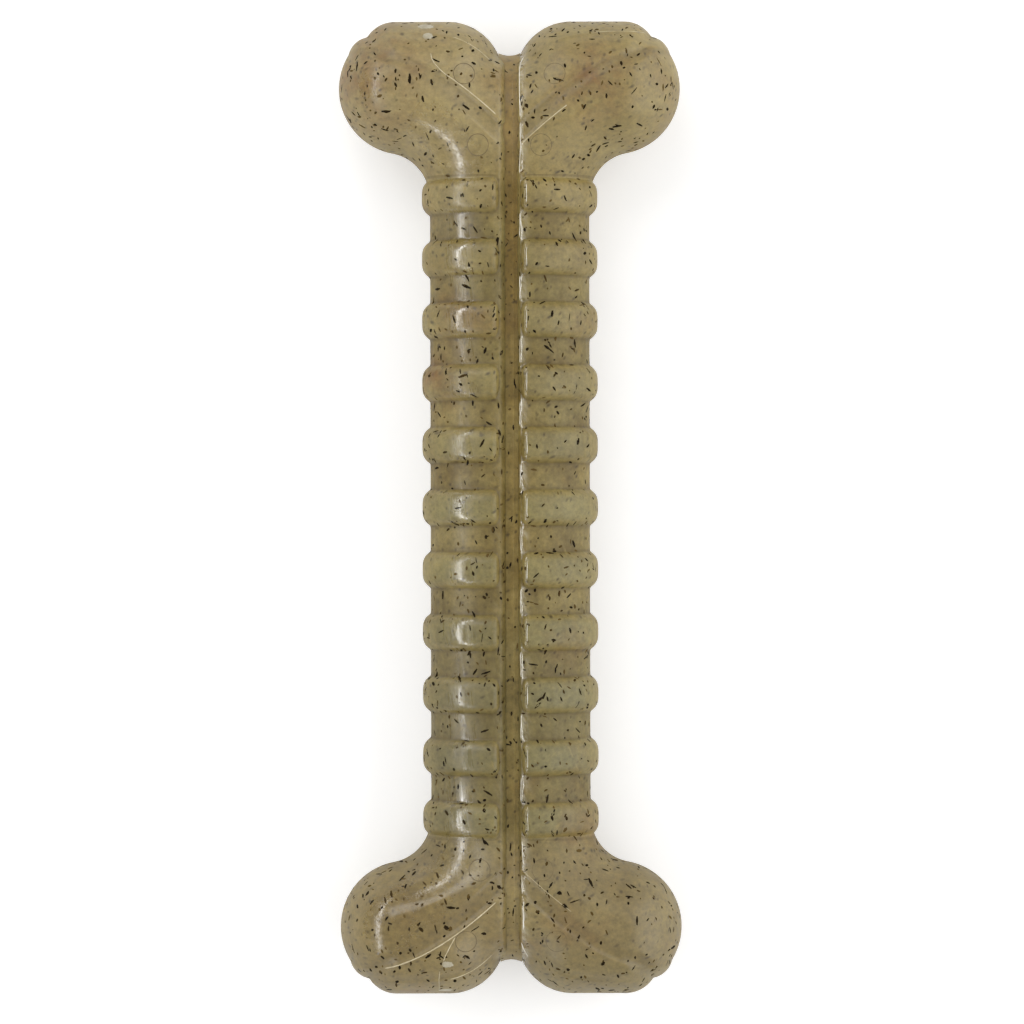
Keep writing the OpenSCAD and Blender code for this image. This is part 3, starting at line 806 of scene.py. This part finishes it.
def nylon(name, tones):
    g = Graph(name)
    look = nylonLook
    across, along = g.add("SeparateXYZ", {"Vector": g.coords}).outputs[:2]
    fromMiddle = g.math("ABSOLUTE", along, 0.0)
    end = g.between(fromMiddle, *look["endFrom"])
    rib, tip, hollow, shine = (g.attribute(key) for key in ("rib", "tip", "hollow", "shine"))
    halves = (along, -look["half"], look["half"])
    # olive lower down and in clouds, ribs paler above and cooler below, and the tone of the knuckles
    mottle = ((0.35, tones["deep"]), (0.5, tones["tan"]), (0.65, tones["pale"]))
    colour = g.ramp(g.noise(*clouds["mottle"]), *mottle)
    lower = g.between(along, 0.03, -0.085, 0.0, look["lowerOlive"])
    colour = g.mix(g.times(lower, g.ramp(end, (0.0, 1.0), (1.0, 0.4))), colour, look["olive"])
    colour = g.mix(g.ramp(g.noise(*clouds["olive"]), (0.45, 0.0), (0.65, 0.45)), colour, look["olive"])
    colour = g.mix(g.times(rib, g.between(*halves, *look["ribPale"])), colour, look["pale"])
    colour = g.mix(g.times(rib, g.between(along, 0.0, 0.04, *look["ribCool"])), colour, look["cool"])
    colour = g.mix(g.times(end, g.between(*halves, *look["endShare"])), colour, tones["end"])
    for spot, reach, tone, share in tones["spots"]:
        colour = g.mix(g.times(g.near(spot, reach), share), colour, tone)
    # painted light: the outer ends of the ribs paler, as light shows through them
    colour = g.mix(g.times(tip, look["tipGlowShare"]), colour, look["pale"])
    # painted shade in the valley between the arm and the toe
    colour = g.mix(g.times(hollow, look["valleyShadeShare"]), colour, tones["deep"])
    colour = g.mix(g.ramp(g.noise(*clouds["stain"]), (0.58, 0.0), (0.76, 0.45)), colour, look["stain"])
    patchy = g.ramp(g.noise(*clouds["patch"]), (0.35, 0.0), (0.65, 1.0))
    for spot, reach in stainSpots:
        colour = g.mix(g.times(g.near(spot, reach), patchy), colour, look["stain"])
    # painted shade along the foot of the ribs, and painted light on their flanks where light shows through
    # the thin nylon
    colour = g.mix(g.ramp(rib, (0.0, 0.0), (0.02, 0.48), (0.08, 0.4), (0.16, 0.0)), colour, look["ribFootShade"])
    colour = g.mix(g.ramp(rib, (0.15, 0.0), (0.35, 0.35), (0.6, 0.3), (0.85, 0.0)), colour, look["pale"])
    # grains deeper in the nylon, blurred by it
    for turn, scale in grainLayers:
        cells = g.add("TexVoronoi", {"Vector": g.stretched(turn, (1.0, 0.42, 0.6)), "Scale": scale})
        chance = g.add("SeparateColor", {"Color": cells.outputs["Color"]}).outputs["Red"]
        blur = g.ramp(cells.outputs["Distance"], (0.05, 0.75), (0.22, 0.0))
        colour = g.mix(g.times(blur, g.ramp(chance, (0.35, 0.0), (0.9, 1.0))), colour, look["grain"])
    # fine light scratches, speckle, and a pale lip and pale facets, partly real scuffing and partly painted
    # highlight
    for turn, scale in scratchLayers:
        scratch = g.noise(scale, 2, 0.5, g.stretched((0, 0, turn), (0.35, 9.0, 1.0)))
        colour = g.mix(g.ramp(scratch, (0.7, 0.0), (0.76, 0.35)), colour, look["pale"])
    speckle = g.ramp(g.noise(*clouds["speckle"]), (0.3, 0.76), (0.7, 1.24))
    colour = g.mix(1.0, colour, speckle, "MULTIPLY")
    scuffAndSheen = g.noise(*clouds["scuffAndSheen"], g.stretched((0, 0, 0.5), (1.0, 3.0, 1.0)))
    scuffedAndSheen = g.times(shine, g.ramp(scuffAndSheen, (0.42, 0.0), (0.66, 0.7)))
    colour = g.mix(g.times(scuffedAndSheen, g.ramp(rib, (0.0, 1.0), (0.2, 0.2))), colour, look["scuffAndSheen"])
    # smoother than the rest: a stripe along the left half of the shaft, the knuckles in places, worn edges
    streak = g.noise(*clouds["streak"], g.stretched((0, 0, 0.12), (1.0, 10.0, 1.0)))
    beside = g.math("ABSOLUTE", g.math("SUBTRACT", across, gloss["stripeX"]), 0.0)
    stripe = g.between(beside, *gloss["stripeEdge"], 1.0, 0.0)
    stripe = g.times(stripe, g.ramp(g.noise(*clouds["stripe"]), (0.38, 0.3), (0.55, 1.0)))
    bays = g.between(fromMiddle, *gloss["bayFrom"], gloss["bayShare"], 1.0)
    stripe = g.times(stripe, g.math("MAXIMUM", bays, g.ramp(rib, (0.3, 0.0), (0.6, 1.0))))
    dull = g.ramp(streak, (0.35, 0.38), (0.65, 0.56))
    rough = g.mix(stripe, dull, g.ramp(streak, (0.35, 0.07), (0.65, 0.34)))
    rough = g.mix(end, rough, g.ramp(g.noise(*clouds["knuckle"]), (0.3, 0.4), (0.7, 0.54)))
    polish = g.ramp(g.noise(*clouds["polish"]), (0.35, 0.11), (0.65, 0.3))
    for spot, reach in polishedSpots:
        rough = g.mix(g.ramp(g.near(spot, reach), (0.0, 0.0), (0.5, 1.0)), rough, polish)
    rough = g.mix(shine, rough, (gloss["wornRough"],) * 3)
    shiny = g.times(rib, gloss["ribShare"])
    for mask in (stripe, end, shine):
        shiny = g.math("MAXIMUM", shiny, mask)
    level = g.ramp(shiny, (0.0, 0.36), (1.0, 0.75))
    bump = g.add("Bump", {"Height": g.mix(0.5, g.noise(*clouds["bump"]), streak)})
    bump.inputs["Strength"].default_value = gloss["bumpStrength"]
    bump.inputs["Distance"].default_value = gloss["bumpDistance"]
    g.set(g.shader.inputs["Base Color"], colour)
    g.set(g.shader.inputs["Roughness"], rough)
    g.set(g.shader.inputs["Specular IOR Level"], g.math("ADD", level, g.times(stripe, gloss["stripeLevel"])))
    g.set(g.shader.inputs["Normal"], bump.outputs["Normal"])
    g.shader.inputs["IOR"].default_value = gloss["ior"]
    g.shader.inputs["Subsurface Weight"].default_value = glow["weight"]
    g.shader.inputs["Subsurface Radius"].default_value = glow["radius"]
    g.shader.inputs["Subsurface Scale"].default_value = glow["scale"]
    return g.material


def markMaterial(name, colour, other, rough):
    g = Graph(name)
    tone = g.ramp(g.noise(*clouds["markTone"]), (0.35, colour), (0.65, other))
    dull = g.ramp(g.noise(*clouds["markGloss"]), (0.3, rough), (0.7, rough + 0.15))
    g.set(g.shader.inputs["Base Color"], tone)
    g.set(g.shader.inputs["Roughness"], dull)
    g.shader.inputs["IOR"].default_value = gloss["ior"]
    return g.material


fleckLook = dict(speck=(0.1, 0.06, 0.018), level=0.06, tones=(
    (0.0, (0.008, 0.005, 0.0015)), (0.3, (0.016, 0.01, 0.003)),
    (0.6, (0.06, 0.036, 0.01)), (1.0, (0.12, 0.078, 0.025))))


def fleckMaterial():
    g = Graph("fleck")
    colour = g.ramp(g.attribute("tone"), *fleckLook["tones"])
    specks = g.ramp(g.noise(*clouds["fleckTone"]), (0.45, 0.0), (0.75, 0.2))
    colour = g.mix(specks, colour, fleckLook["speck"])
    g.set(g.shader.inputs["Base Color"], colour)
    g.set(g.shader.inputs["Roughness"], g.ramp(g.noise(*clouds["fleckGloss"]), (0.3, 0.5), (0.7, 0.8)))
    g.shader.inputs["Specular IOR Level"].default_value = fleckLook["level"]
    return g.material


lobeNylon = nylon("lobe_nylon", lobeTones)
webNylon = nylon("web_nylon", webLightenedTones)
fleckDark = fleckMaterial()
# darker than the nylon: painted shade of an incised ring on the raised wire
pinShadeNylon = markMaterial("pin_shade_nylon", (0.12, 0.083, 0.03), (0.18, 0.13, 0.052), 0.4)
# pale: painted highlight on the raised lines
seamHighlightNylon = markMaterial("seam_highlight_nylon", (0.42, 0.34, 0.18), (0.62, 0.54, 0.36), 0.15)
# near white: painted highlight along the lip and the rib facets
edgeHighlightNylon = markMaterial("edge_highlight_nylon", (0.6, 0.54, 0.4), (0.9, 0.88, 0.78), 0.1)
scarNylon = markMaterial("scar_nylon", (0.34, 0.29, 0.18), (0.52, 0.48, 0.37), 0.3)

for piece, node, slot, material in (
        (leftLobe, "left_lobe", "lobe_nylon", lobeNylon),
        (rightLobe, "right_lobe", "lobe_nylon", lobeNylon),
        (leftPins, "left_lobe", "lobe_nylon", pinShadeNylon),
        (rightPins, "right_lobe", "lobe_nylon", pinShadeNylon),
        (leftLines, "left_lobe", "lobe_nylon", seamHighlightNylon),
        (rightLines, "right_lobe", "lobe_nylon", seamHighlightNylon),
        (rightHighlightLines, "right_lobe", "lobe_nylon", edgeHighlightNylon),
        (leftScars, "left_lobe", "lobe_nylon", scarNylon),
        (centreWeb, "centre_web", "web_nylon", webNylon),
        (leftFlecks, "left_flecks", "fleck", fleckDark),
        (rightFlecks, "right_flecks", "fleck", fleckDark),
        (webFlecks, "web_flecks", "fleck", fleckDark)):
    piece.data.materials.clear()
    piece.data.materials.append(material)
    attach(piece, "root")
    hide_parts(node)
print("materials set")

# Floor, light and camera
studio = dict(ambient=0.54, window=5.0, windowSize=(2.6, 0.055), windowAt=(-0.66, 0.1, 0.5), aimHeight=0.012,
              panels=(((1.1, 0, 0.6), (2.6, 1.4), 15.0), ((-0.25, 0.55, 0.76), (0.6, 0.3), 1.2)),
              floorSize=4, floorDrop=0.0001, floorTone=0.93, floorRough=0.9, floorLift=0.3)
bpy.ops.object.select_all(action="DESELECT")
bpy.ops.mesh.primitive_plane_add(size=studio["floorSize"], location=(0, 0, -studio["floorDrop"]))
floor = bpy.context.object
floor.name = "floor"
white = Graph("floor_white")
white.shader.inputs["Base Color"].default_value = (*(studio["floorTone"],) * 3, 1)
white.shader.inputs["Roughness"].default_value = studio["floorRough"]
white.shader.inputs["Emission Color"].default_value = (1, 1, 1, 1)
seen = white.add("LightPath").outputs["Is Camera Ray"]
white.set(white.shader.inputs["Emission Strength"], white.times(seen, studio["floorLift"]))
floor.data.materials.append(white.material)

world = bpy.data.worlds.new("studio")
bpy.context.scene.world = world
world.use_nodes = True
world.node_tree.nodes["Background"].inputs["Color"].default_value = (1, 1, 1, 1)
world.node_tree.nodes["Background"].inputs["Strength"].default_value = studio["ambient"]


def addLight(name, at, size, power, aimY=0):
    bpy.ops.object.light_add(type="AREA", location=at)
    lamp = bpy.context.object
    lamp.name = name
    lamp.data.shape = "RECTANGLE"
    lamp.data.size, lamp.data.size_y = size
    lamp.data.energy = power
    toward = Vector((0, aimY, studio["aimHeight"])) - lamp.location
    lamp.rotation_euler = toward.to_track_quat("-Z", "Y").to_euler()


addLight("window", studio["windowAt"], studio["windowSize"], studio["window"], studio["windowAt"][1])
for i, (at, size, power) in enumerate(studio["panels"]):
    addLight("panel_" + str(i + 1), at, size, power)
print("floor and", 1 + len(studio["panels"]), "lights set")

photo = dict(pixels=1024, perMm=1 / 0.1833, centre=(510.3, 507.5), height=0.7, lean=0.13, sensor=36)
middle = photo["pixels"] / 2
bpy.ops.object.camera_add(location=((middle - photo["centre"][0]) / photo["perMm"] * mm,
                                    -(middle - photo["centre"][1]) / photo["perMm"] * mm,
                                    halfThick * mm + photo["height"]),
                          rotation=(0, 0, -math.radians(photo["lean"])))
camera = bpy.context.object
camera.data.sensor_width = photo["sensor"]
camera.data.lens = photo["sensor"] * photo["height"] / (photo["pixels"] / photo["perMm"] * mm)
camera.data.dof.use_dof = False
bpy.context.scene.camera = camera
bpy.context.scene.view_settings.view_transform = "Standard"
